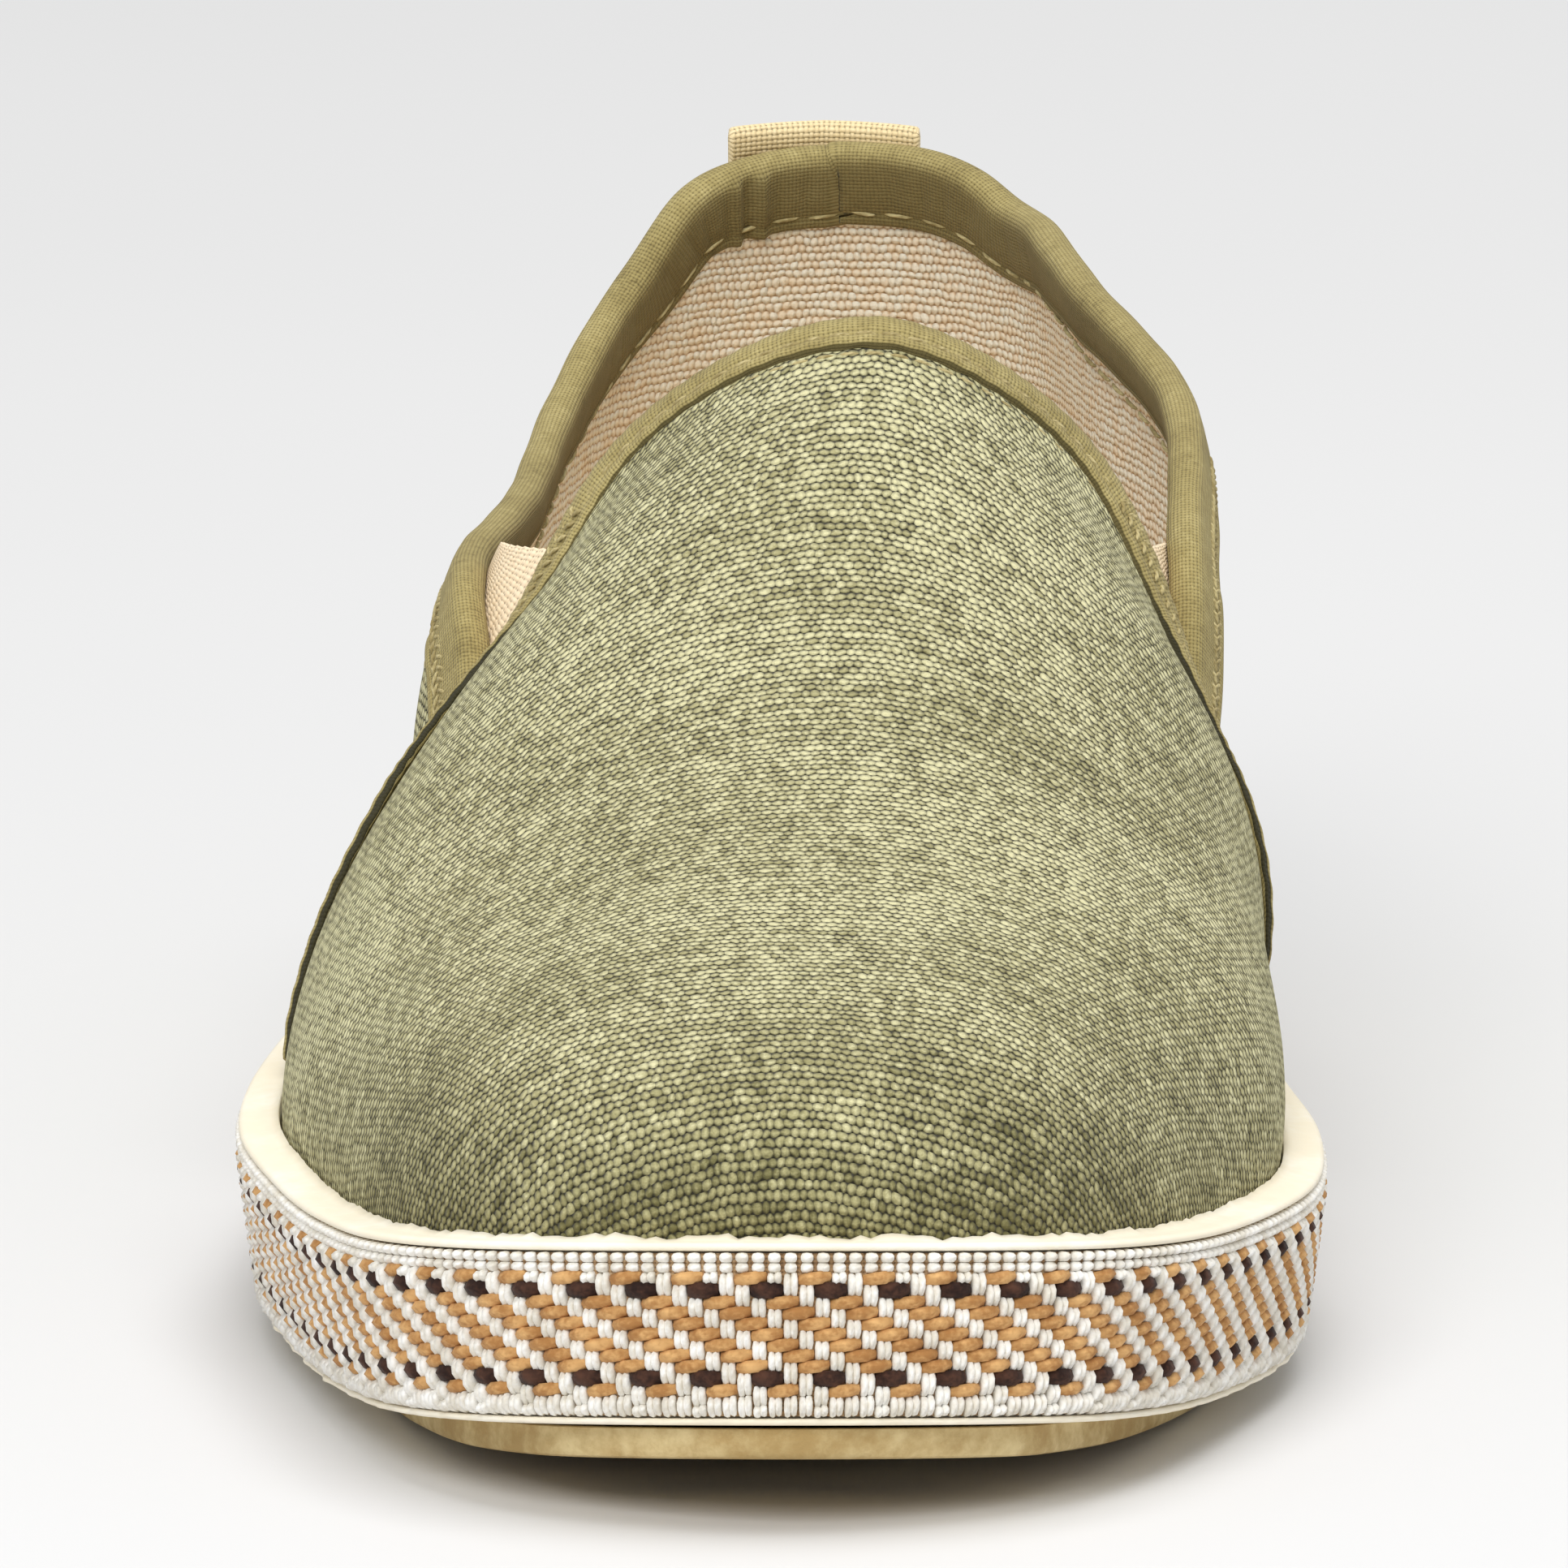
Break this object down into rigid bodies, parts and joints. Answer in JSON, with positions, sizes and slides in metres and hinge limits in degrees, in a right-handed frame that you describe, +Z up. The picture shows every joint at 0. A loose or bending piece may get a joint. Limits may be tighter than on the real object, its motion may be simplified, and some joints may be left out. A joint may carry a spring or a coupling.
{
  "type": "slip-on canvas sneaker",
  "caption": "Right-foot canvas slip-on sneaker with elastic side gussets, a heel pull loop and a cup sole faced with a woven tape.",
  "frame": {"origin": "centre of the shoe's box on the floor under the sole", "axes": "+Z up, -Y towards the toe, +X towards the medial side"},
  "size_m": [0.1056, 0.2858, 0.092],
  "materials": {
    "crepe_rubber": "matt tan crepe rubber with fine fibres in it",
    "cream_rubber": "satin cream rubber",
    "woven_tape": "cotton tape woven in white, tan and dark brown yarns",
    "insole_cloth": "beige cotton cloth over foam",
    "canvas": "washed grey-green cotton canvas with a beige cotton lining",
    "binding_tape": "khaki folded cotton tape with a row of stitches",
    "elastic": "pale peach ribbed elastic",
    "webbing": "cream cotton webbing"
  },
  "bodies": {
    "root": {"outsole": "crepe_rubber", "midsole": "cream_rubber", "woven_tape": "woven_tape", "insole": "insole_cloth", "upper": "canvas", "vamp_binding": "binding_tape", "collar_binding": "binding_tape", "gore_lateral": "elastic", "gore_medial": "elastic", "pull_loop": "webbing"}
  },
  "joints": []
}
